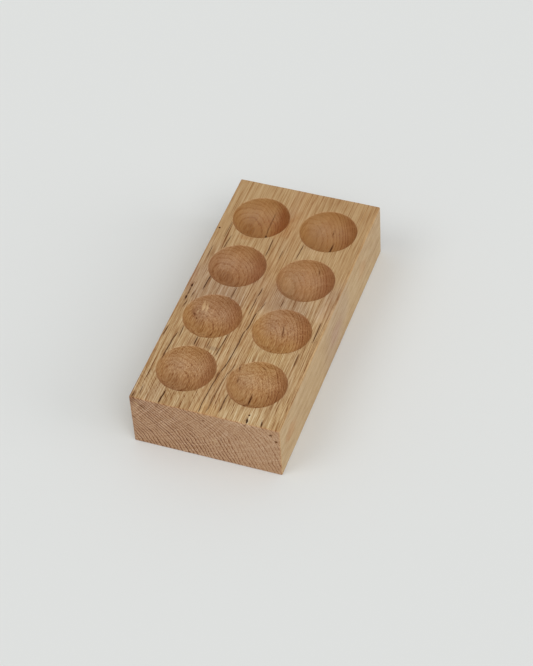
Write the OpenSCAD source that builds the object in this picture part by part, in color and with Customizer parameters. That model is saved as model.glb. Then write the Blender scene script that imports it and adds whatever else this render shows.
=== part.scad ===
// Marble board: one solid oak block with two columns of four round hollows in its top face.
// Millimetres. The origin is at the centre of the underside, +Y runs along the grain, +Z is up.

/* [Block] */
// Width of the block, across the grain
board_w = 84; // [82:1:105]
// Length of the block, along the grain
board_l = 175; // [165:1:220]
// Thickness of the block
board_h = 35.5; // [20:0.5:45]
// Radius that sanding gives every outside edge
arris_r = 0.6; // [0.2:0.1:2]

/* [Hollows] */
// Hollows across the width
columns = 2; // [1:1:2]
// Hollows along the length
rows = 4; // [1:1:4]
// Distance between the centres of neighbouring hollows, both ways
pitch = 40; // [36:0.5:41]
// Diameter of the round-nosed cutter that makes the hollows
cutter_d = 33; // [24:0.5:34]
// Depth of a hollow at its middle
hollow_depth = 13.5; // [6:0.5:16]
// Width of the fine bevel that breaks each hollow's rim
rim_bevel = 0.3; // [0.1:0.1:0.8]

/* [Hidden] */
overshoot = 1;
cutter_r = cutter_d / 2;
// Height of the cutter's centre above the top face when it is at full depth
cutter_lift = cutter_r - hollow_depth;
// Radius of the hollow where the bevel starts, rim_bevel below the top face
bevel_foot_r = sqrt(pow(cutter_r, 2) - pow(cutter_lift + rim_bevel, 2));
// Radius of the hollow's rim on the top face, with its bevel
rim_r = bevel_foot_r + rim_bevel;
$fn = 96;

// A rectangle about the origin with rounded corners
module rounded_rectangle(x, y, r) {
    square([x - 2 * r, y], center = true);
    square([x, y - 2 * r], center = true);
    for (sx = [-1, 1], sy = [-1, 1])
        translate([sx * (x / 2 - r), sy * (y / 2 - r)]) circle(r);
}

// The block standing on the origin, with its twelve edges sanded round
module block(x, y, z, r) {
    translate([0, 0, z / 2])
        intersection() {
            linear_extrude(z, center = true) rounded_rectangle(x, y, r);
            rotate([90, 0, 0]) linear_extrude(y, center = true) rounded_rectangle(x, z, r);
            rotate([90, 0, 90]) linear_extrude(x, center = true) rounded_rectangle(y, z, r);
        }
}

// What the cutter takes away for one hollow whose centre is on the origin of the top face
module hollow_cut() {
    translate([0, 0, cutter_lift]) sphere(cutter_r);
    translate([0, 0, -rim_bevel])
        cylinder(h = rim_bevel + overshoot, r1 = bevel_foot_r, r2 = rim_r + overshoot);
}

module oak_board() {
    color("burlywood")
        difference() {
            block(board_w, board_l, board_h, arris_r);
            for (column = [0 : columns - 1], row = [0 : rows - 1])
                translate([
                    (column - (columns - 1) / 2) * pitch,
                    (row - (rows - 1) / 2) * pitch,
                    board_h
                ])
                    hollow_cut();
        }
}

oak_board();
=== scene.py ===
"""Marble board: a solid oak block with eight sphere-bottomed hollows, seen on a pale floor.

Lengths are millimetres unless a name says otherwise. The block's mesh is worked out in millimetres,
in the frame of the CAD model (x across, y along the grain, z up), and is turned into metres when it
becomes an object.
"""

import math
from collections import namedtuple

import bpy
from mathutils import Matrix, Vector, noise
from mathutils.geometry import delaunay_2d_cdt


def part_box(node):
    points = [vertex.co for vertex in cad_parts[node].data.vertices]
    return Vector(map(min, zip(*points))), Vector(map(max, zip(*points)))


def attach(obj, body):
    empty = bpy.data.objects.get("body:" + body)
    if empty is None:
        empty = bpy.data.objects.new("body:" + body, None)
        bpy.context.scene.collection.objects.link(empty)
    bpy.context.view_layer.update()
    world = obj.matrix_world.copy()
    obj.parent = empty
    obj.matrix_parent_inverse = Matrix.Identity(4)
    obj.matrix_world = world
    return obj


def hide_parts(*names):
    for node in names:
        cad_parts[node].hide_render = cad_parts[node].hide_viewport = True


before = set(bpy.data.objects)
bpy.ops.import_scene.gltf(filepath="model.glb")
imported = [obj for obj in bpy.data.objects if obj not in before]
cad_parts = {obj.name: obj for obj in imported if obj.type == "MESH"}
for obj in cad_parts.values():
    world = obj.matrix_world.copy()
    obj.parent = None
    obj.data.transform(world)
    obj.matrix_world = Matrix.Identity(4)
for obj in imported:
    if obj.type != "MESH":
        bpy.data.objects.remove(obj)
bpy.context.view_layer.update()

# ---------------------------------------------------------------- driving sizes

MM = 0.001
low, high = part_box("oak_board")
HALF_X = (high.x - low.x) / 2 / MM
HALF_Y = (high.y - low.y) / 2 / MM
TOP_Z = (high.z - low.z) / MM

COLUMNS = 2
ROWS = 4
PITCH = 40.0
CUTTER_R = 16.5          # radius of the ball cutter that made the hollows
CUTTER_LIFT = 3.0        # its centre stands this far above the top face
RIM_ANGLE = math.acos(CUTTER_LIFT / CUTTER_R)
RIM_R = CUTTER_R * math.sin(RIM_ANGLE)

ARRIS_R = 0.6            # the long and short edges are eased by about this radius
RIM_ROUND = 0.42         # so are the rims of the hollows
ARRIS_WEAR = 0.9         # the wear on the eased edges reaches this far on to each face

CENTRES = [
    ((column - (COLUMNS - 1) / 2) * PITCH, ((ROWS - 1) / 2 - row) * PITCH)
    for row in range(ROWS)
    for column in range(COLUMNS)
]

# How far apart the points of the mesh are
GRID_STEP = 1.2          # on the flat faces
HOLLOW_STEP = 0.85       # on the walls of the hollows
CRACK_STEP = 0.5         # along a crack

# Where its extra rows of points lie, and where the even ones start
EDGE_ROWS = (0.0, 0.22, 0.45, 0.7)   # distances from every edge
EDGE_BAND = 1.3          # the even rows start this far from an edge
RIM_BAND = 1.25          # and this far outside the rim of a hollow
WALL_BAND = 0.75         # the even rings of a hollow stay this far inside its rim
RIM_SKIRT = 0.45         # one row lies this far outside each rim,
RIM_STEPS = 3            # and this many steps lead down its rounding
CRACK_SKIRT = 0.30       # a crack's outermost rows lie this far outside its lips
PIT_SKIRT = 0.22         # and so does a pit's
CRACK_CLEARANCE = 0.20   # no even row comes this close to those outermost rows
PIT_CLEARANCE = 0.45     # or this close to a pit's lip
PIT_POINTS = 12          # points round each ring of a pit
SAME_PLACE = 1e-5        # points closer than this are one
ON_BORDER = 1e-6         # a point this close to the border of its face is shared with the next face


# ---------------------------------------------------------------- marks in the wood

# A check is a fine crack along the grain: (width, depth, darkness, points along it in its face).
# Points on the top are (x, y) seen from above, also where they lie inside a hollow.
TOP_CHECKS = [
    # the long one down the middle, in pieces
    (0.43, 0.9, 0.90, [(-0.8, 7.6), (-0.8, 4.1), (-1.4, 0.7)]),
    (0.32, 0.7, 0.65, [(-1.4, 0.3), (-1.3, -4.0), (-1.4, -8.0), (-1.5, -12.9)]),
    (0.29, 0.6, 0.65, [(4.5, -2.2), (3.5, -7.5), (2.5, -10.4)]),
    (0.45, 0.9, 0.95, [(2.4, -10.8), (1.9, -14.3), (1.9, -18.2), (1.7, -21.7), (1.2, -25.4)]),
    (0.41, 0.9, 0.95, [(1.0, -25.2), (0.5, -27.3), (0.5, -31.2), (0.7, -34.9), (0.4, -40.2),
                       (-0.1, -48.4), (-0.6, -52.8), (-1.6, -57.2)]),
    (0.39, 0.8, 0.85, [(-1.6, -56.8), (-2.0, -60.6), (-2.7, -67.3), (-2.9, -74.3), (-3.3, -80.7),
                       (-3.0, -84.3), (-3.0, -87.2)]),
    (0.34, 0.6, 0.60, [(4.2, -49.5), (3.5, -54.3), (2.3, -57.9), (1.8, -62.3), (1.2, -71.2),
                       (0.8, -74.9), (1.1, -83.0), (0.7, -85.8)]),
    # beside the left edge
    (1.35, 1.7, 1.00, [(-38.9, 0.4), (-38.8, -2.6)]),
    (1.35, 1.7, 1.00, [(-38.9, -8.8), (-38.9, -12.2)]),
    (0.50, 0.9, 0.85, [(-38.9, -2.5), (-38.8, -9.1)]),
    (0.41, 0.8, 0.80, [(-35.9, -4.9), (-36.3, -9.5)]),
    (0.45, 0.9, 0.90, [(-37.4, -12.8), (-37.9, -17.4)]),
    (0.49, 1.2, 0.95, [(-31.6, 8.7), (-31.9, 3.3), (-32.1, -2.3)]),
    (0.45, 0.8, 0.85, [(-40.5, -33.4), (-40.6, -37.3), (-40.9, -40.8)]),
    (0.39, 0.8, 0.80, [(-32.3, -31.4), (-32.0, -37.1), (-32.1, -39.5)]),
    (0.49, 0.9, 0.90, [(-33.8, -37.1), (-34.6, -40.8), (-34.7, -46.1), (-35.0, -50.0), (-35.6, -56.5)]),
    (0.41, 0.8, 0.80, [(-38.1, -71.4), (-38.0, -65.5)]),
    (0.37, 0.8, 0.75, [(-37.2, -84.0), (-37.6, -78.0)]),
    (0.29, 0.6, 0.60, [(-34.6, 52.1), (-34.9, 44.6), (-34.9, 40.4)]),
    (0.39, 0.8, 0.80, [(-32.2, 31.5), (-32.1, 34.0), (-31.5, 41.4)]),
    (0.32, 0.7, 0.70, [(-38.6, 22.0), (-38.8, 31.0)]),
    # between the hollows
    (0.36, 0.8, 0.80, [(-14.6, 4.0), (-14.8, 0.9), (-15.0, -2.6), (-14.8, -4.2)]),
    (0.49, 1.0, 0.95, [(-22.2, -43.1), (-22.2, -40.0), (-22.1, -36.5)]),
    (0.41, 0.8, 0.85, [(-8.2, -47.0), (-7.8, -40.0), (-7.3, -34.0), (-7.0, -30.5)]),
    (0.39, 0.8, 0.80, [(-7.8, 45.5), (-7.5, 36.0), (-7.7, 31.5)]),
    (0.29, 0.6, 0.60, [(0.5, 38.4), (0.4, 31.1)]),
    (0.37, 0.8, 0.75, [(9.5, 34.5), (9.8, 40.0), (10.1, 46.0)]),
    (0.32, 0.7, 0.70, [(-15.0, -41.9), (-14.8, -37.6)]),
    (0.32, 0.7, 0.70, [(13.5, -2.4), (13.6, 2.0)]),
    (0.39, 0.8, 0.75, [(34.3, -42.5), (34.2, -38.0), (34.1, -33.0)]),
    (0.43, 0.9, 0.85, [(38.5, -22.7), (38.4, -15.0), (38.3, -8.4)]),
    # at the front edge
    (0.57, 1.1, 0.90, [(-40.6, -87.0), (-40.5, -85.8), (-40.2, -84.0)]),
    (0.59, 1.1, 1.00, [(-25.6, -87.3), (-25.3, -83.0), (-24.8, -77.5)]),
    (0.45, 0.9, 0.85, [(7.6, -70.8), (7.4, -74.8), (7.4, -79.3), (7.4, -83.6)]),
    (1.15, 1.5, 1.00, [(23.7, -87.3), (23.5, -85.5), (23.0, -83.2)]),
    (0.74, 1.2, 0.95, [(31.6, -87.3), (31.5, -85.5), (31.1, -83.2)]),
    # inside the hollows
    (0.36, 0.5, 0.40, [(-16.1, 72.6), (-17.3, 69.0), (-18.1, 64.3), (-17.8, 60.4)]),
    (0.70, 0.9, 1.00, [(-17.8, 60.2), (-17.0, 55.5), (-16.6, 50.0)]),
    (0.49, 0.8, 0.90, [(21.5, 63.7), (21.2, 57.0), (21.2, 51.0)]),
    (0.45, 0.6, 0.65, [(16.9, -8.6), (17.2, -11.0), (17.5, -13.4)]),
    (0.49, 0.7, 0.90, [(15.6, -57.4), (15.8, -61.0), (15.9, -64.9)]),
    (0.43, 0.6, 0.85, [(14.6, -66.5), (14.9, -70.5)]),
    (0.43, 0.5, 0.70, [(19.8, 70.4), (19.6, 68.2)]),
    (0.39, 0.5, 0.65, [(23.4, 34.2), (23.3, 32.6)]),
    (0.39, 0.5, 0.55, [(-9.5, -20.5), (-9.4, -22.0)]),
    (0.61, 0.6, 0.90, [(7.1, -49.9), (6.9, -51.6)]),
    (0.61, 0.7, 0.90, [(7.2, -54.3), (7.1, -56.2)]),
    (0.45, 0.5, 0.70, [(18.6, -45.1), (19.6, -45.2)]),
]
# A worm hole, knot or small pit: (x, y, radius, depth, darkness)
TOP_PITS = [
    (-40.1, 45.8, 0.55, 1.2, 1.0),
    (23.3, -81.3, 0.52, 0.9, 1.0),
    (-32.6, -15.5, 0.50, 0.5, 0.55),
    (-31.2, -16.6, 0.35, 0.4, 0.45),
    (-6.6, -22.0, 0.30, 0.5, 0.7),
]
# Torn grain, short shallow scars that show pale wood: (width, depth, points along it)
TORN_GRAIN = [
    (1.3, 0.35, [(-29.6, -11.6), (-29.2, -9.6), (-29.0, -8.0)]),
    (1.1, 0.30, [(-27.9, -11.0), (-27.6, -9.0), (-27.5, -7.8)]),
    (0.8, 0.25, [(-31.6, -13.8), (-31.2, -12.4)]),
]
# The same on the front end, with places as (x, z)
FRONT_CHECKS = [
    (0.65, 0.8, 0.85, [(-37.4, 31.4), (-35.0, 29.6), (-33.2, 27.8)]),
    (0.40, 0.6, 0.90, [(23.2, 34.9), (22.7, 33.8)]),
    (0.40, 0.6, 0.85, [(-25.6, 34.9), (-26.3, 33.7)]),
    (0.30, 0.5, 0.60, [(8.6, 19.2), (8.8, 16.6)]),
]
FRONT_PITS = [
    (37.0, 30.7, 0.75, 1.0, 0.74),
    (39.7, 26.5, 0.78, 1.0, 0.74),
    (-0.6, 30.0, 0.60, 0.5, 0.45),
    (-6.2, 6.5, 0.42, 0.4, 0.5),
]
FRONT_TORN = [
    (0.9, 0.2, [(-39.4, 31.9), (-38.2, 30.8), (-37.7, 30.0)]),
    (0.7, 0.2, [(4.8, 15.8), (5.6, 14.6)]),
    (0.7, 0.2, [(20.6, 20.3), (21.6, 19.3)]),
]
MARKS = {
    "top": (TOP_CHECKS, TOP_PITS, TORN_GRAIN),
    "front": (FRONT_CHECKS, FRONT_PITS, FRONT_TORN),
}


# ---------------------------------------------------------------- shape of the block

def smooth_noise(x, y, z=0.0):
    """A smooth value from about -1 to 1 at a point."""
    return noise.noise(Vector((x, y, z)))


def on_circle(cx, cy, radius, angle):
    """The place at a distance and direction from a centre."""
    return cx + radius * math.cos(angle), cy + radius * math.sin(angle)


def laid_out(polar):
    """How far from a hollow's axis its flat layout puts a point at this angle round the ball."""
    return RIM_R * polar / RIM_ANGLE


def rim_rounding(hollow, angle):
    """The rounding of a hollow's rim in one direction: its radius, the distance from the axis at
    which it starts on the flat top, and the angle round the ball at which it meets the wall."""
    across, along = math.cos(angle), math.sin(angle)
    radius = RIM_ROUND + 0.12 * smooth_noise(2.1 * across, 2.1 * along, 7.3 * hollow)
    radius += 0.18 * smooth_noise(11 * across, 7 * along, 3.1 * hollow)
    reach = CUTTER_R + radius
    flat_from = math.sqrt(reach**2 - (CUTTER_LIFT + radius) ** 2)
    ball_to = math.asin(flat_from / reach)
    return radius, flat_from, ball_to


def nearest_hollow(x, y):
    """The number, centre, distance and direction of the hollow nearest to a point of the top."""
    distances = [math.hypot(x - cx, y - cy) for cx, cy in CENTRES]
    number = min(range(len(CENTRES)), key=distances.__getitem__)
    cx, cy = CENTRES[number]
    return number, cx, cy, distances[number], math.atan2(y - cy, x - cx)


def top_point(u, v):
    """The point of the surface for a place of the top's flat layout, its outward direction, and
    how far it is inside a hollow (0 on the flat, 1 on the wall). Inside a hollow the layout's
    radius is the angle round the ball, so that the wall isn't squeezed."""
    number, cx, cy, distance, angle = nearest_hollow(u, v)
    radius, flat_from, ball_to = rim_rounding(number, angle)
    along = Vector((math.cos(angle), math.sin(angle), 0.0))
    axis = Vector((cx, cy, TOP_Z))
    up = Vector((0.0, 0.0, 1.0))
    if distance >= flat_from:
        return Vector((u, v, TOP_Z)), up, 0.0
    if distance <= laid_out(ball_to):
        polar = RIM_ANGLE * distance / RIM_R
        outward = along * -math.sin(polar) + up * math.cos(polar)
        return axis + up * CUTTER_LIFT - outward * CUTTER_R, outward, 1.0
    share = (flat_from - distance) / (flat_from - laid_out(ball_to))
    turn = ball_to * share
    outward = along * -math.sin(turn) + up * math.cos(turn)
    return axis + along * flat_from - up * radius + outward * radius, outward, share


def eased(point):
    """A point of the sharp block moved onto its eased edges, and the outward direction there."""
    radius = ARRIS_R + 0.14 * smooth_noise(*(point * 0.09)) + 0.07 * smooth_noise(*(point * 0.5))
    core = Vector((
        max(radius - HALF_X, min(HALF_X - radius, point.x)),
        max(radius - HALF_Y, min(HALF_Y - radius, point.y)),
        max(radius, min(TOP_Z - radius, point.z)),
    ))
    outward = (point - core).normalized()
    return core + outward * radius, outward


# Each face is laid out flat, with u to the right and v upward as seen from outside (on the
# underside, v runs towards the front)
FACES = {
    "top": lambda u, v: Vector((u, v, TOP_Z)),
    "under": lambda u, v: Vector((u, -v, 0.0)),
    "front": lambda u, v: Vector((u, -HALF_Y, v)),
    "back": lambda u, v: Vector((-u, HALF_Y, v)),
    "right": lambda u, v: Vector((HALF_X, u, v)),
    "left": lambda u, v: Vector((-HALF_X, -u, v)),
}
# from the lowest to the highest u, and from the lowest to the highest v
SPANS = {
    "top": (-HALF_X, HALF_X, -HALF_Y, HALF_Y),
    "under": (-HALF_X, HALF_X, -HALF_Y, HALF_Y),
    "front": (-HALF_X, HALF_X, 0.0, TOP_Z),
    "back": (-HALF_X, HALF_X, 0.0, TOP_Z),
    "right": (-HALF_Y, HALF_Y, 0.0, TOP_Z),
    "left": (-HALF_Y, HALF_Y, 0.0, TOP_Z),
}


def face_point(name, u, v):
    """The same as top_point, for a place of any face's layout."""
    if name == "top":
        position, outward, inside = top_point(u, v)
        if inside > 0.0:
            return position, outward, inside
    position, outward = eased(FACES[name](u, v))
    return position, outward, 0.0


def layout_place(name, x, y):
    """The place in a face's layout of a mark, which is given as it is seen square on."""
    if name != "top":
        return x, y
    _, cx, cy, distance, angle = nearest_hollow(x, y)
    if distance >= RIM_R:
        return x, y
    polar = math.asin(min(1.0, distance / CUTTER_R))
    return on_circle(cx, cy, laid_out(polar), angle)


def rows_between(start, end):
    """Values from start to end, GRID_STEP apart, with the extra rows at both ends."""
    first, last = start + EDGE_BAND, end - EDGE_BAND
    count = math.ceil((last - first) / GRID_STEP)
    middle = [first + (last - first) * i / count for i in range(count + 1)]
    return [start + e for e in EDGE_ROWS] + middle + [end - e for e in reversed(EDGE_ROWS)]


def distance_to_path(x, y, path):
    """The distance from a point to a line of points."""
    best = math.inf
    for (ax, ay), (bx, by) in zip(path, path[1:]):
        length2 = (bx - ax) ** 2 + (by - ay) ** 2
        t = max(0.0, min(1.0, ((x - ax) * (bx - ax) + (y - ay) * (by - ay)) / length2))
        best = min(best, math.hypot(x - ax - t * (bx - ax), y - ay - t * (by - ay)))
    return best


def resampled(path, step):
    """Evenly spaced points along a line of points."""
    legs = [math.dist(a, b) for a, b in zip(path, path[1:])]
    total = sum(legs)
    count = max(3, round(total / step))
    result = []
    for i in range(count + 1):
        remaining = total * i / count
        for leg, a, b in zip(legs, path, path[1:]):
            if remaining <= leg + 1e-9:
                break
            remaining -= leg
        t = min(1.0, remaining / leg)
        result.append((a[0] + (b[0] - a[0]) * t, a[1] + (b[1] - a[1]) * t))
    return result


# What a mesh point is part of: how deep it is cut, how dark and how torn the wood is there, and
# whether it is on the sharp lip of a crack or pit
Mark = namedtuple("Mark", "depth stain torn lip")
NO_MARK = Mark(0.0, 0.0, 0.0, False)

# The rings of a pit: shares of its radius, depth and darkness, distance outside it, on the lip or not
PIT_RINGS = (
    (0.55, 1.0, 1.0, 0.0, False),
    (1.0, 0.0, 0.8, 0.0, True),
    (1.0, 0.0, 0.0, PIT_SKIRT, False),
)


class Layout:
    """The points and fixed edges of one face, laid out flat, before it is split into triangles."""

    def __init__(self):
        self.places = []
        self.marks = []
        self.edges = []
        self.keep_clear = []

    def add(self, place, mark=NO_MARK):
        """Add a mesh point and return its number."""
        self.places.append(Vector(place))
        self.marks.append(mark)
        return len(self.places) - 1

    def groove(self, path, width, depth, stain=0.0, torn=0.0):
        """A crack with a V section: five lines of points that close up at both ends."""
        middle = resampled(path, CRACK_STEP)
        last = len(middle) - 1
        self.keep_clear_of(middle, width / 2 + CRACK_SKIRT + CRACK_CLEARANCE)
        end = Mark(0.0, stain * 0.5, torn * 0.5, False)
        lip = Mark(0.0, stain * 0.80, torn * 0.8, True)
        skirt = Mark(0.0, stain * 0.12, 0.0, False)
        lines = [[], [], [], [], []]
        for i, (u, v) in enumerate(middle):
            before, after = middle[max(i - 1, 0)], middle[min(i + 1, last)]
            du, dv = after[0] - before[0], after[1] - before[1]
            length = math.hypot(du, dv)
            taper = min(1.0, min(i, last - i) / 4) ** 0.6
            if taper == 0.0:
                number = self.add((u, v), end)
                for line in lines[1:4]:
                    line.append(number)
                continue
            wobble = 0.22 * width * smooth_noise(u * 1.3, v * 0.45, 3.0) * taper
            half = width / 2 * taper * (1.0 + 0.35 * smooth_noise(u, v * 0.6, 9.0))
            offsets = (-half - CRACK_SKIRT, -half, 0.0, half, half + CRACK_SKIRT)
            marks = (skirt, lip, Mark(depth * taper, stain, torn, False), lip, skirt)
            for line, offset, mark in zip(lines, offsets, marks):
                sideways = (wobble + offset) / length
                line.append(self.add((u - dv * sideways, v + du * sideways), mark))
        for line in lines[1:4]:
            self.edges += list(zip(line, line[1:]))

    def pit(self, u, v, radius, depth, stain):
        """A small round hole: rings of points that go down to a flat bottom."""
        short_path = [(u, v), (u + 1e-3, v)]
        self.keep_clear_of(short_path, radius + PIT_CLEARANCE)
        self.add((u, v), Mark(depth, stain, 0.0, False))
        for share, down, dark, skirt, lip in PIT_RINGS:
            ring = []
            mark = Mark(depth * down, stain * dark, 0.0, lip)
            for i in range(PIT_POINTS):
                turn = math.tau * (i + share) / PIT_POINTS
                uneven = 1.0 + 0.14 * smooth_noise(u + math.cos(turn), v + math.sin(turn), 5.0)
                reach = radius * share * uneven + skirt
                ring.append(self.add(on_circle(u, v, reach, turn), mark))
            self.edges += list(zip(ring, ring[1:] + ring[:1]))

    def keep_clear_of(self, path, gap):
        """Keep ordinary mesh points this far from a line of points."""
        us, vs = zip(*path)
        self.keep_clear.append((path, gap, min(us) - gap, max(us) + gap, min(vs) - gap, max(vs) + gap))

    def is_clear(self, u, v):
        """Whether a place is far enough from every groove and pit to take an ordinary mesh point."""
        for path, gap, u_low, u_high, v_low, v_high in self.keep_clear:
            if u_low < u < u_high and v_low < v < v_high and distance_to_path(u, v, path) <= gap:
                return False
        return True


def add_hollow_rings(layout, number):
    """Rings of points down the wall of one hollow, closer together round its rim."""
    cx, cy = CENTRES[number]
    places = []
    rim_points = math.ceil(math.tau * RIM_R / HOLLOW_STEP)
    # row -1 lies outside the rim, and the others go down its rounding
    for row in range(-1, RIM_STEPS + 1):
        for i in range(rim_points):
            angle = math.tau * i / rim_points
            _, flat_from, ball_to = rim_rounding(number, angle)
            rounding = flat_from - laid_out(ball_to)
            reach = flat_from + RIM_SKIRT if row < 0 else flat_from - rounding * row / RIM_STEPS
            places.append(on_circle(cx, cy, reach, angle))
    rings = round(CUTTER_R * RIM_ANGLE / HOLLOW_STEP)
    for ring in range(rings):
        reach = (RIM_R - WALL_BAND) * ring / rings
        round_wall = math.tau * CUTTER_R * math.sin(RIM_ANGLE * reach / RIM_R)
        count = max(1, round(round_wall / HOLLOW_STEP))
        for i in range(count):
            angle = math.tau * (i + 0.5 * (ring % 2)) / count
            places.append(on_circle(cx, cy, reach, angle))
    for place in places:
        if layout.is_clear(*place):
            layout.add(place)


def face_layout(name):
    """All the points of one face."""
    layout = Layout()
    checks, pits, torn_grain = MARKS.get(name, ((), (), ()))
    for width, depth, dark, path in checks:
        layout.groove([layout_place(name, *point) for point in path], width, depth, stain=dark)
    for width, depth, path in torn_grain:
        layout.groove([layout_place(name, *point) for point in path], width, depth, torn=1.0)
    for x, y, radius, depth, dark in pits:
        layout.pit(*layout_place(name, x, y), radius, depth, dark)
    u_low, u_high, v_low, v_high = SPANS[name]
    for u in rows_between(u_low, u_high):
        for v in rows_between(v_low, v_high):
            on_border = u in (u_low, u_high) or v in (v_low, v_high)
            in_hollow = name == "top" and nearest_hollow(u, v)[3] < RIM_R + RIM_BAND
            if on_border or (not in_hollow and layout.is_clear(u, v)):
                layout.add((u, v))
    if name == "top":
        for number in range(len(CENTRES)):
            add_hollow_rings(layout, number)
    return layout


# Where each face lies on the square of the OFBake UV layer: the two coordinates of its
# corner, the size of a millimetre, and whether it is turned
BAKE_PIXEL = 1 / 1024
BAKE_MM = 4.8 * BAKE_PIXEL
UNDER_MM = 2.02 * BAKE_PIXEL
GAP = 6 * BAKE_PIXEL
PAST_TOP = 2 * GAP + 2 * HALF_X * BAKE_MM
PAST_RIGHT = 3 * GAP + (2 * HALF_X + TOP_Z) * BAKE_MM
PAST_LEFT = 4 * GAP + (2 * HALF_X + 2 * TOP_Z) * BAKE_MM
ABOVE_TOP = 2 * GAP + 2 * HALF_Y * BAKE_MM
ABOVE_FRONT = 2 * GAP + 2 * HALF_X * BAKE_MM
BAKE_PLACES = {
    "top": (GAP, GAP, BAKE_MM, False),
    "right": (PAST_TOP, GAP, BAKE_MM, True),
    "left": (PAST_RIGHT, GAP, BAKE_MM, True),
    "front": (PAST_LEFT, GAP, BAKE_MM, True),
    "back": (PAST_LEFT, ABOVE_FRONT, BAKE_MM, True),
    "under": (GAP, ABOVE_TOP, UNDER_MM, True),
}


def bake_place(name, u, v):
    """The place of a layout point on the square of the OFBake UV layer."""
    corner_u, corner_v, size, turned = BAKE_PLACES[name]
    u_low, _, v_low, _ = SPANS[name]
    along, across = u - u_low, v - v_low
    if turned:
        along, across = across, along
    return corner_u + along * size, corner_v + across * size


def distance_to_border(name, u, v):
    """How far inside the face's outline a place is."""
    u_low, u_high, v_low, v_high = SPANS[name]
    return min(u - u_low, u_high - u, v - v_low, v_high - v)


def build_block():
    """The whole skin of the block as one closed mesh, in metres."""
    known = {}
    points, lips = [], []
    values = {"in_hollow": [], "stain": [], "torn": [], "arris": []}
    triangles, bake_places = [], []
    for name, to_block in FACES.items():
        layout = face_layout(name)
        split = delaunay_2d_cdt(layout.places, layout.edges, [], 0, SAME_PLACE)
        places, _, faces, sources, _, _ = split
        numbers = []
        for place, source in zip(places, sources):
            border = distance_to_border(name, *place)
            key = (name, len(numbers))
            if border < ON_BORDER:
                key = tuple(round(c, 3) for c in to_block(*place))
            if key not in known:
                known[key] = len(points)
                mark = layout.marks[source[0]] if source else NO_MARK
                position, outward, inside = face_point(name, *place)
                points.append((position - outward * mark.depth) * MM)
                lips.append(mark.lip)
                values["in_hollow"].append(inside)
                values["stain"].append(mark.stain)
                values["torn"].append(mark.torn)
                values["arris"].append(max(0.0, 1.0 - border / ARRIS_WEAR) ** 0.8)
            numbers.append(known[key])
        for face in faces:
            triangles.append([numbers[i] for i in face])
            bake_places += [bake_place(name, *places[i]) for i in face]
    return block_mesh(points, triangles, lips, values, bake_places)


def block_mesh(points, triangles, lips, values, bake_places):
    """The mesh with its named values at each point, smooth but for the lips of the cracks and pits."""
    mesh = bpy.data.meshes.new("oak_block")
    mesh.from_pydata(points, [], triangles)
    layer = mesh.uv_layers.new(name="OFBake")
    layer.uv.foreach_set("vector", [c for place in bake_places for c in place])
    for name, numbers in values.items():
        mesh.attributes.new(name, "FLOAT", "POINT").data.foreach_set("value", numbers)
    mesh.polygons.foreach_set("use_smooth", [True] * len(mesh.polygons))
    for edge in mesh.edges:
        a, b = edge.vertices
        edge.use_edge_sharp = lips[a] and lips[b]
    mesh.update()
    return mesh


# ---------------------------------------------------------------- tools for the materials

def colour(red, green, blue):
    """An opaque colour, as the nodes take it."""
    return (red, green, blue, 1.0)


class Nodes:
    """Short names for the node calls that the oak needs."""

    def __init__(self, tree):
        self.tree = tree

    def node(self, kind, inputs=(), **settings):
        made = self.tree.nodes.new(kind)
        for key, value in settings.items():
            setattr(made, key, value)
        for key, value in dict(inputs).items():
            self.set(made.inputs[key], value)
        return made

    def set(self, socket, value):
        if isinstance(value, bpy.types.NodeSocket):
            self.tree.links.new(value, socket)
        else:
            socket.default_value = value

    def math(self, operation, a, b=0.0, c=0.0, clamp=False):
        inputs = {0: a, 1: b, 2: c}
        return self.node("ShaderNodeMath", inputs, operation=operation, use_clamp=clamp).outputs[0]

    def add(self, a, b):
        return self.math("ADD", a, b)

    def sub(self, a, b):
        return self.math("SUBTRACT", a, b)

    def mul(self, a, b):
        return self.math("MULTIPLY", a, b)

    def ramp(self, value, start, end, low=0.0, high=1.0):
        """A smooth step from low to high as value goes from start to end."""
        inputs = {"Value": value, 1: start, 2: end, 3: low, 4: high}
        return self.node("ShaderNodeMapRange", inputs, interpolation_type="SMOOTHSTEP").outputs[0]

    def colour_ramp(self, value, tints):
        """Evenly spaced colours, blended smoothly as value goes from 0 to 1."""
        made = self.node("ShaderNodeValToRGB", {0: value})
        steps = made.color_ramp.elements
        while len(steps) < len(tints):
            steps.new(0.5)
        for i, tint in enumerate(tints):
            steps[i].position = i / (len(tints) - 1)
            steps[i].color = colour(*tint)
        return made.outputs[0]

    def stretched(self, vector, x, y, z):
        """The vector with each part divided by a length, so that noise on it is that big."""
        inputs = {0: vector, 1: (1 / x, 1 / y, 1 / z)}
        return self.node("ShaderNodeVectorMath", inputs, operation="MULTIPLY").outputs[0]

    def noise(self, vector, detail=2.0, roughness=0.5):
        """Smooth noise from about -1 to 1, with grains one unit across."""
        inputs = {"Vector": vector, "Scale": 1.0, "Detail": detail, "Roughness": roughness}
        made = self.node("ShaderNodeTexNoise", inputs, noise_dimensions="3D")
        return self.math("MULTIPLY_ADD", made.outputs["Fac"], 4.0, -2.0)

    def cells(self, vector):
        """The distance to the nearest of scattered points, about one unit apart."""
        made = self.node("ShaderNodeTexVoronoi", {"Vector": vector, "Scale": 1.0}, feature="F1")
        return made.outputs["Distance"]

    def mix(self, share, first, second, blend="MIX"):
        inputs = {"Factor": share, 6: first, 7: second}
        made = self.node("ShaderNodeMix", inputs, data_type="RGBA", blend_type=blend)
        return made.outputs[2]

    def xyz(self, x, y, z):
        return self.node("ShaderNodeCombineXYZ", {0: x, 1: y, 2: z}).outputs[0]

    def split(self, vector):
        return tuple(self.node("ShaderNodeSeparateXYZ", {0: vector}).outputs)

    def attribute(self, name):
        return self.node("ShaderNodeAttribute", attribute_name=name).outputs["Fac"]


# ---------------------------------------------------------------- the look of the oak

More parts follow.
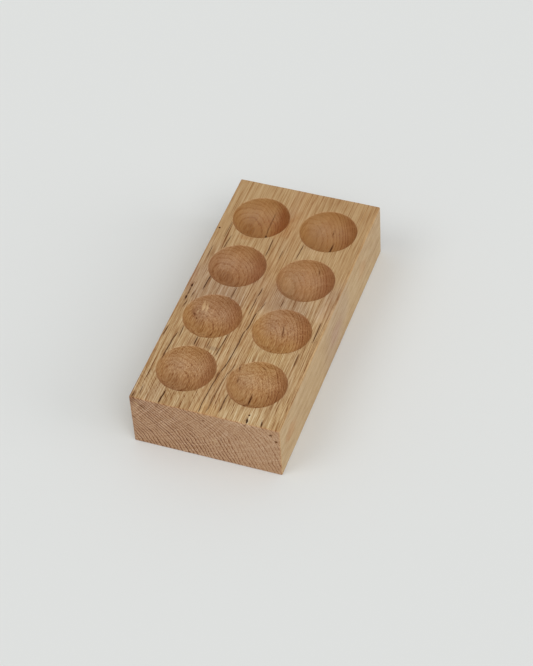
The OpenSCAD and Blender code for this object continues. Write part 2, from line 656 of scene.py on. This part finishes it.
# The growth rings run along y. Their planes bend once: they face one way in the upper left of the
# end face and another in the lower right. Facings are angles from +x towards +z. Where there are
# two values, the first holds at the front end and the second from a little further in.
RING_SPACING = 2.05
UPPER_LEFT_CLOSER = 1.20     # the rings of the upper left are this much closer together
UPPER_LEFT_FACING = (math.radians(50), math.radians(61))
LOWER_RIGHT_FACING = (math.radians(21), math.radians(28))
BEND_X = (-4.0, -10.0)
BEND_Z = 17.9
BEND_SOFTNESS = 1.7
CHANGE_Y = (-85.0, -64.0)    # the first values give way to the second between these places

GRAIN_FADE_Y = (-50.0, 85.0)   # the grain is strongest up to the first place and weakest past the second
PORE_DEPTH = 0.10

# The tone is how pale the grain makes the wood. Darker wood is also more orange: red falls least
# with the tone, and blue most.
PLAIN_TONE = 1.10            # between the lines of the grain
DARKEST_TONE = 0.22
TONE_POWERS = (0.66, 1.06, 1.60)

YELLOW_TAN = colour(0.450, 0.274, 0.119)
PINK_TAN = colour(0.385, 0.233, 0.124)
ORANGE_TAN = colour(0.45, 0.240, 0.085)
TORN_COLOUR = colour(0.66, 0.46, 0.24)
FAINT_MARK_COLOUR = colour(0.125, 0.036, 0.011)    # of the faint cracks and pits
DARK_MARK_COLOUR = colour(0.050, 0.009, 0.002)     # and of the darkest

# A tint is how much of red, green and blue is left
END_TINT = colour(1.01, 0.965, 1.16)
# painted sheen: the long sides are made paler and bluer, as a grazing sheen of light shows on them
SIDE_SHEEN_TINT = colour(1.03, 1.09, 1.17)
MIDDLE_LINE_TINT = colour(0.98, 0.92, 0.87)    # between the two columns of hollows
WORN_TINT = colour(0.97, 0.83, 0.66)           # on the eased edges
# The hollows are tinted darker and more orange than the top: a tint for each row, front to back
HOLLOW_TINTS = [(0.94, 0.775, 0.62), (1.00, 0.83, 0.61), (0.90, 0.71, 0.59), (0.88, 0.685, 0.46)]
# and painted light and shade for the walls that face along each axis (0 is x, 1 is y), one way
# and the other: the walls facing across and the near walls are painted darker, the far walls paler
WALL_LIGHT_AND_SHADE_TINTS = [
    (0, -1, (0.90, 0.80, 0.81)),
    (0, 1, (0.93, 0.95, 0.98)),
    (1, -1, (1.02, 1.06, 1.15)),
    (1, 1, (0.95, 0.89, 0.96)),
]

# Soft patches where the wood is another shade: (centre, half sizes, tint)
SPOTS = [
    ((42, -71, 18), (8, 11, 7), (0.95, 0.80, 0.66)),
    ((42, 53, 19), (6, 10, 8), (0.95, 0.84, 0.74)),
    ((42, 4, 16), (9, 13, 9), (0.97, 0.91, 1.00)),
    ((-7, 60, 27), (17, 19, 15), (0.88, 0.69, 0.47)),
    ((-31, -14, 29), (4.5, 5, 5), (0.78, 0.68, 0.60)),
    ((9, 21, 28), (4, 7, 6), (1.12, 1.14, 1.18)),
    ((-30, 23, 27), (4, 6, 5), (1.06, 1.10, 1.16)),
    ((-41, -86, 34), (4, 5, 5), (0.72, 0.62, 0.52)),
    ((-11, -42.5, 35.5), (6, 2, 3), (0.78, 0.76, 0.78)),
    ((-41, 3, 35), (3, 14, 4), (0.86, 0.76, 0.72)),
    ((-19, -41, 36), (9, 5, 3), (0.93, 0.88, 0.88)),
    ((21, -84, 36), (16, 9, 5), (1.18, 1.28, 1.40)),
    ((19, 41, 36), (9, 5, 3), (1.08, 1.10, 1.14)),
    ((18, 84, 36), (14, 7, 4), (0.95, 0.91, 0.87)),
    ((-22, 60, 27), (13, 15, 11), (0.97, 0.94, 0.90)),
    ((-20, 20, 27), (20, 20, 14), (0.95, 0.92, 0.89)),
    ((20, -40, 25), (22, 48, 16), (1.06, 1.08, 1.03)),
    ((20, 20, 27), (20, 20, 14), (1.04, 1.07, 1.08)),
    ((-23, 42.5, 36), (6, 2.5, 3), (0.93, 0.82, 0.70)),
    ((42, 75, 18), (8, 24, 20), (0.95, 0.93, 0.91)),
    ((-8, 20, 27), (12, 16, 12), (0.96, 0.91, 0.90)),
    ((9, 20, 27), (8, 12, 10), (1.02, 1.09, 1.10)),
    ((0, -48, 27), (50, 9, 12), (1.02, 1.06, 1.14)),
    ((0, -84, 36), (9, 7, 4), (1.12, 1.14, 1.10)),
    ((38.5, -80, 36), (6, 14, 4), (1.11, 1.16, 1.19)),
    ((38.5, 0, 36), (6, 14, 4), (1.12, 1.15, 1.23)),
    ((38.5, 80, 36), (6, 14, 4), (0.95, 0.91, 0.87)),
    ((0, 0, 36), (6, 9, 3), (0.91, 0.87, 0.84)),
    ((0, -41, 36), (6, 9, 3), (1.04, 1.10, 1.17)),
    ((0, 41, 36), (6, 9, 3), (1.02, 1.08, 1.18)),
]


class Oak(Nodes):
    """Solid oak. Each step leaves on self what the later steps need."""

    def __init__(self, tree):
        super().__init__(tree)
        metres = self.node("ShaderNodeTexCoord").outputs["Object"]
        inputs = {0: metres, "Scale": 1 / MM}
        self.place = self.node("ShaderNodeVectorMath", inputs, operation="SCALE").outputs[0]
        self.x, self.y, self.z = self.split(self.place)
        self.find_faces()
        self.measure_rings()
        self.find_rings()
        self.find_grain()

    def grain(self, across, along, height=None, **settings):
        """Noise whose spots are this big across the grain, along it and upward."""
        places = self.stretched(self.place, across, along, height or across)
        return self.noise(places, **settings)

    def toward_back(self, front, back):
        """A number that changes along the board: the grain shows most at the front end."""
        return self.ramp(self.y, *GRAIN_FADE_Y, front, back)

    def find_faces(self):
        """Which way the surface faces, and how much a point belongs to each kind of surface."""
        self.facing = self.split(self.node("ShaderNodeNewGeometry").outputs["Normal"])
        self.hollow = self.attribute("in_hollow")
        outside = self.sub(1.0, self.hollow)
        self.on_end = self.mul(self.ramp(self.math("ABSOLUTE", self.facing[1]), 0.35, 0.95), outside)
        self.on_side = self.mul(self.ramp(self.math("ABSOLUTE", self.facing[0]), 0.35, 0.95), outside)
        self.on_flat = self.sub(1.0, self.add(self.on_end, self.add(self.on_side, self.hollow)))

    def by_face(self, flat, end, side, inside):
        """A number that differs between the top and bottom, the ends, the long sides and the hollows."""
        level = self.add(self.mul(self.on_flat, flat), self.mul(self.on_end, end))
        return self.add(level, self.add(self.mul(self.on_side, side), self.mul(self.hollow, inside)))

    def measure_rings(self):
        """How far outward through the growth rings a point lies, and how far round them."""
        self.ripple = self.mul(self.grain(3.0, 40), 0.38)
        sideways = self.sub(self.x, self.ramp(self.y, *CHANGE_Y, *BEND_X))
        height = self.sub(self.z, BEND_Z)
        outward, around = [], []
        for facing in (UPPER_LEFT_FACING, LOWER_RIGHT_FACING):
            turn = self.ramp(self.y, *CHANGE_Y, *facing)
            cosine, sine = self.math("COSINE", turn), self.math("SINE", turn)
            outward.append(self.add(self.mul(sideways, cosine), self.mul(height, sine)))
            around.append(self.sub(self.mul(height, cosine), self.mul(sideways, sine)))
        first, second = self.mul(outward[0], UPPER_LEFT_CLOSER), outward[1]

        # the larger of the two, with the bend between them rounded off
        half_gap = self.mul(self.sub(first, second), 0.5)
        bend = self.math("SQRT", self.add(self.mul(half_gap, half_gap), BEND_SOFTNESS**2))
        larger = self.add(self.mul(self.add(first, second), 0.5), bend)
        self.outward = self.add(larger, self.add(self.grain(15, 90), self.ripple))
        share = self.math("MULTIPLY_ADD", self.math("DIVIDE", half_gap, bend), 0.5, 0.5)
        self.around = self.add(self.mul(around[0], share), self.mul(around[1], self.sub(1.0, share)))

    def find_rings(self):
        """The early wood, which starts sharply and fades outward, and the dense late wood."""
        uneven = self.noise(self.xyz(self.mul(self.outward, 0.16), 3.0, 5.0), detail=1.0)
        count = self.math("DIVIDE", self.add(self.outward, self.mul(uneven, 0.45)), RING_SPACING)
        phase = self.math("FRACT", count)
        self.early = self.mul(self.ramp(phase, 0.0, 0.14), self.ramp(phase, 0.24, 0.54, 1.0, 0.0))
        self.late = self.mul(self.ramp(phase, 0.50, 0.64), self.ramp(phase, 0.66, 0.82, 1.0, 0.0))
        ring_place = self.xyz(self.math("FLOOR", count), 0.5, self.math("DIVIDE", self.y, 260))
        ring_tone = self.noise(ring_place, detail=0.0)
        patchy = self.ramp(self.add(self.grain(6, 60), ring_tone), -1.0, 1.0, 0.60, 1.20)
        self.patchy_early = self.mul(self.early, patchy)

    def find_grain(self):
        """The pores, streaks, blotches, seams and rays, and the chips on the eased edges."""
        # pores are long thin tubes along the grain, crowded in the early wood
        pore_line = self.xyz(self.add(self.x, self.ripple), self.y, self.z)
        pore_size = self.math("MULTIPLY_ADD", self.early, 0.18, 0.22)
        from_pore = self.cells(self.stretched(pore_line, 0.58, 28, 0.58))
        self.pores = self.ramp(self.sub(pore_size, from_pore), -0.12, 0.14)

        # fibre shows as streaks, from thin and short to broad and long
        self.finest = self.grain(0.50, 3.4, detail=1.0)
        self.hairs = self.grain(0.42, 16, detail=1.0)
        self.fine = self.grain(0.60, 19, roughness=0.6)
        self.middle = self.grain(1.7, 48, detail=1.0)
        self.broad = self.grain(6, 120, detail=1.0)
        self.blotches = self.grain(7, 9, 5, detail=3.0)
        # seams are dark lines that come and go
        seam_line = self.ramp(self.math("ABSOLUTE", self.grain(0.95, 36, detail=0.0)), 0.02, 0.26, 1.0, 0.0)
        self.seams = self.mul(seam_line, self.ramp(self.grain(3, 22), -0.5, 0.7))

        # rays are thin sheets that run outward through the rings
        ray_places = self.stretched(self.xyz(self.around, self.y, self.outward), 0.54, 16.0, 14.0)
        self.rays = self.ramp(self.noise(ray_places, detail=0.0), 0.05, 0.85)

        # the eased edges are broken up into small paler and darker chips
        self.arris = self.attribute("arris")
        self.chips = self.mul(self.arris, self.grain(1.0, 1.8))

    def tone(self):
        """How pale the wood is: about 1 on average, and less in the darker lines."""
        # in the hollows the rings show more towards the right of each column, but further back they
        # show all over the left one
        in_right_column = self.math(
            "MAXIMUM", self.ramp(self.x, 8.0, 32.0, 0.48, 1.4), self.ramp(self.x, 0.0, 3.0, 1.0, 0.0))
        in_left_column = self.math(
            "MAXIMUM", self.ramp(self.x, -33.0, -18.0, 0.45, 1.25), self.ramp(self.y, -36.0, 10.0))
        hollow_rings = self.mul(in_right_column, in_left_column)
        # on the ends they fade towards the right, and most at the top
        end_rings = self.ramp(self.math("MULTIPLY_ADD", self.z, 0.75, self.x), -12.0, 36.0, 1.12, 0.50)

        back = self.toward_back

        def on_ends(share):
            return self.mul(end_rings, share)

        def in_hollows(at_front, at_back):
            return self.mul(hollow_rings, back(at_front, at_back))

        # each layer, and how much it shows on the flat faces, the ends, the long sides and in the hollows
        paler = (
            (self.finest, back(0.20, 0.05), 0.34, 0.10, back(0.40, 0.03)),
            (self.hairs, back(0.52, 0.12), 0.0, 0.09, 0.0),
            (self.fine, back(0.33, 0.25), 0.10, 0.12, back(0.13, 0.04)),
            (self.middle, 0.05, 0.05, 0.10, 0.05),
            (self.broad, 0.05, 0.01, 0.07, 0.09),
            (self.blotches, 0.03, 0.03, 0.13, 0.07),
            (self.rays, 0.05, on_ends(0.30), 0.04, back(0.22, 0.12)),
            (self.chips, 0.16, 0.16, 0.08, 0.0),
        )
        darker = (
            (self.seams, back(0.38, 0.31), 0.0, 0.10, 0.06),
            (self.patchy_early, 0.12, on_ends(0.96), 0.04, in_hollows(0.29, 0.20)),
            (self.late, 0.0, on_ends(0.34), 0.0, in_hollows(0.16, 0.06)),
            (self.pores, back(0.42, 0.30), 0.24, 0.14, back(0.20, 0.06)),
        )
        tone = PLAIN_TONE
        for layer, *shows in paler:
            tone = self.add(tone, self.mul(layer, self.by_face(*shows)))
        for layer, *shows in darker:
            tone = self.sub(tone, self.mul(layer, self.by_face(*shows)))
        return self.math("MAXIMUM", tone, DARKEST_TONE)

    def tinted(self, share, base, tint):
        """The base colour, scaled by the tint as far as share says: 0 leaves it as it is."""
        return self.mix(share, base, tint, "MULTIPLY")

    def mean_colour(self):
        """The colour of the wood without its grain: yellow tan, pinker half way along the board,
        and more orange near the right edge, on the eased edges and in the hollows, with a painted
        sheen that makes the long sides paler and painted light and shade on the hollows' walls."""
        drift = self.mul(self.grain(20, 42, 26), 0.6)
        half_way = self.ramp(self.math("ABSOLUTE", self.sub(self.y, 4.0)), 6.0, 34.0, 0.9, 0.0)
        pinker = self.mul(self.ramp(self.add(drift, half_way), 0.1, 1.2), self.by_face(1.0, 1.0, 0.6, 0.8))
        mean = self.mix(pinker, YELLOW_TAN, PINK_TAN)
        right_edge = self.mul(self.ramp(self.x, 24.0, 40.0), self.ramp(self.z, 20.0, 34.0))
        right_edge = self.mul(right_edge, self.ramp(self.fine, -0.3, 0.8))
        mean = self.mix(self.mul(right_edge, 0.40), mean, ORANGE_TAN)
        mean = self.tinted(self.on_end, mean, END_TINT)
        # painted sheen on the long sides
        mean = self.tinted(self.on_side, mean, SIDE_SHEEN_TINT)

        from_front = self.math("MULTIPLY_ADD", self.y, 1 / ((ROWS - 1) * PITCH), 0.5, clamp=True)
        mean = self.tinted(self.hollow, mean, self.colour_ramp(from_front, HOLLOW_TINTS))
        # painted light and shade: each wall of a hollow is made darker or paler by the way it faces
        for axis, sign, tint in WALL_LIGHT_AND_SHADE_TINTS:
            wall = self.mul(self.hollow, self.ramp(self.mul(self.facing[axis], sign), 0.10, 0.60))
            mean = self.tinted(wall, mean, colour(*tint))
        middle_line = self.ramp(self.math("ABSOLUTE", self.x), 2.0, 13.0, 1.0, 0.0)
        mean = self.tinted(self.mul(middle_line, self.on_flat), mean, MIDDLE_LINE_TINT)
        worn = self.mul(self.arris, self.math("MULTIPLY_ADD", self.grain(5, 9), 0.30, 0.62))
        mean = self.tinted(worn, mean, WORN_TINT)

        for centre, size, tint in SPOTS:
            away = self.node("ShaderNodeVectorMath", {0: self.place, 1: centre}, operation="SUBTRACT")
            away = self.stretched(away.outputs[0], *size)
            away = self.node("ShaderNodeVectorMath", {0: away}, operation="LENGTH").outputs["Value"]
            share = self.ramp(self.add(away, self.mul(self.blotches, 0.25)), 0.35, 1.0, 1.0, 0.0)
            mean = self.tinted(share, mean, colour(*tint))
        return mean

    def surface(self, shader):
        """Join everything to the shader: the toned colour, with torn and stained places over it."""
        tone = self.tone()
        channels = self.node("ShaderNodeSeparateColor", {0: self.mean_colour()}).outputs
        toned = {}
        for i, power in enumerate(TONE_POWERS):
            toned[i] = self.mul(channels[i], self.math("POWER", tone, power))
        wood = self.node("ShaderNodeCombineColor", toned).outputs[0]
        wood = self.mix(self.mul(self.attribute("torn"), 0.75), wood, TORN_COLOUR)
        stain = self.attribute("stain")
        dark = self.mix(self.ramp(stain, 0.70, 0.95), FAINT_MARK_COLOUR, DARK_MARK_COLOUR)
        wood = self.mix(self.mul(stain, 0.94), wood, dark)

        rough = self.add(self.math("MULTIPLY_ADD", self.fine, 0.05, 0.50), self.mul(self.pores, 0.15))
        relief = self.add(self.pores, self.mul(self.early, 0.3))
        relief = self.sub(self.mul(self.fine, 0.25), relief)
        bump = self.node("ShaderNodeBump", {"Height": relief, "Strength": 0.35, "Distance": PORE_DEPTH * MM})
        dull = self.math("MAXIMUM", stain, self.mul(self.pores, 0.5))
        self.set(shader.inputs["Base Color"], wood)
        self.set(shader.inputs["Roughness"], rough)
        self.set(shader.inputs["Normal"], bump.outputs[0])
        self.set(shader.inputs["Specular IOR Level"], self.math("MULTIPLY_ADD", dull, -0.5, 0.5))


def oak_material():
    material = bpy.data.materials.new("oak")
    material.use_nodes = True
    Oak(material.node_tree).surface(material.node_tree.nodes["Principled BSDF"])
    return material


# ---------------------------------------------------------------- the board

board = bpy.data.objects.new("marble_board", build_block())
bpy.context.scene.collection.objects.link(board)
board.data.materials.append(oak_material())
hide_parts("oak_board")
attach(board, "root")


# ---------------------------------------------------------------- floor, light and camera (metres)

def floor_material():
    material = bpy.data.materials.new("pale_floor")
    material.use_nodes = True
    shader = material.node_tree.nodes["Principled BSDF"]
    shader.inputs["Base Color"].default_value = colour(0.785, 0.80, 0.788)
    shader.inputs["Roughness"].default_value = 0.8
    shader.inputs["Specular IOR Level"].default_value = 0.0
    return material


def add_floor(half_size):
    mesh = bpy.data.meshes.new("floor")
    corners = [(x * half_size, y * half_size, 0.0) for x, y in ((-1, -1), (1, -1), (1, 1), (-1, 1))]
    mesh.from_pydata(corners, [], [(0, 1, 2, 3)])
    floor = bpy.data.objects.new("floor", mesh)
    bpy.context.scene.collection.objects.link(floor)
    mesh.materials.append(floor_material())


def direction(azimuth, elevation):
    """The direction from the board to something: azimuth 0 is straight in front, 90 is to the right."""
    turn, rise = math.radians(azimuth), math.radians(elevation)
    return Vector((math.sin(turn) * math.cos(rise), -math.cos(turn) * math.cos(rise), math.sin(rise)))


def add_sun(name, azimuth, elevation, strength, spread):
    light = bpy.data.lights.new(name, "SUN")
    light.energy = strength
    light.angle = math.radians(spread)
    lamp = bpy.data.objects.new(name, light)
    lamp.rotation_euler = direction(azimuth, elevation).to_track_quat("Z", "Y").to_euler()
    bpy.context.scene.collection.objects.link(lamp)


def add_sky(strength):
    world = bpy.data.worlds.new("studio")
    world.use_nodes = True
    background = world.node_tree.nodes["Background"]
    background.inputs["Color"].default_value = colour(1.0, 1.0, 1.0)
    background.inputs["Strength"].default_value = strength
    bpy.context.scene.world = world


def add_camera(azimuth, elevation, roll, distance, look_at, lens):
    """A camera at a distance from the point that it looks at, turned by roll about its own axis."""
    back = direction(azimuth, elevation)
    right = Vector((0, 0, 1)).cross(back).normalized()
    up = back.cross(right)
    turn = math.radians(roll)
    turned_right = math.cos(turn) * right + math.sin(turn) * up
    turned_up = math.cos(turn) * up - math.sin(turn) * right
    camera = bpy.data.objects.new("camera", bpy.data.cameras.new("camera"))
    axes = Matrix((turned_right, turned_up, back)).transposed().to_4x4()
    camera.matrix_world = Matrix.Translation(Vector(look_at) + back * distance) @ axes
    camera.data.lens = lens
    camera.data.sensor_width = 36.0
    camera.data.clip_end = 100.0
    bpy.context.scene.collection.objects.link(camera)
    bpy.context.scene.camera = camera


add_floor(half_size=4.0)
add_sky(strength=0.557)
add_sun("key_right", azimuth=45, elevation=48, strength=0.772, spread=34)
add_sun("key_left", azimuth=315, elevation=48, strength=0.525, spread=34)
add_sun("low_right", azimuth=90, elevation=22, strength=0.599, spread=34)
add_camera(
    azimuth=22.41, elevation=46.88, roll=-4.14,
    distance=1.179, look_at=(-0.0002, 0.0072, 0.0), lens=113.5)
bpy.context.scene.view_settings.view_transform = "Standard"
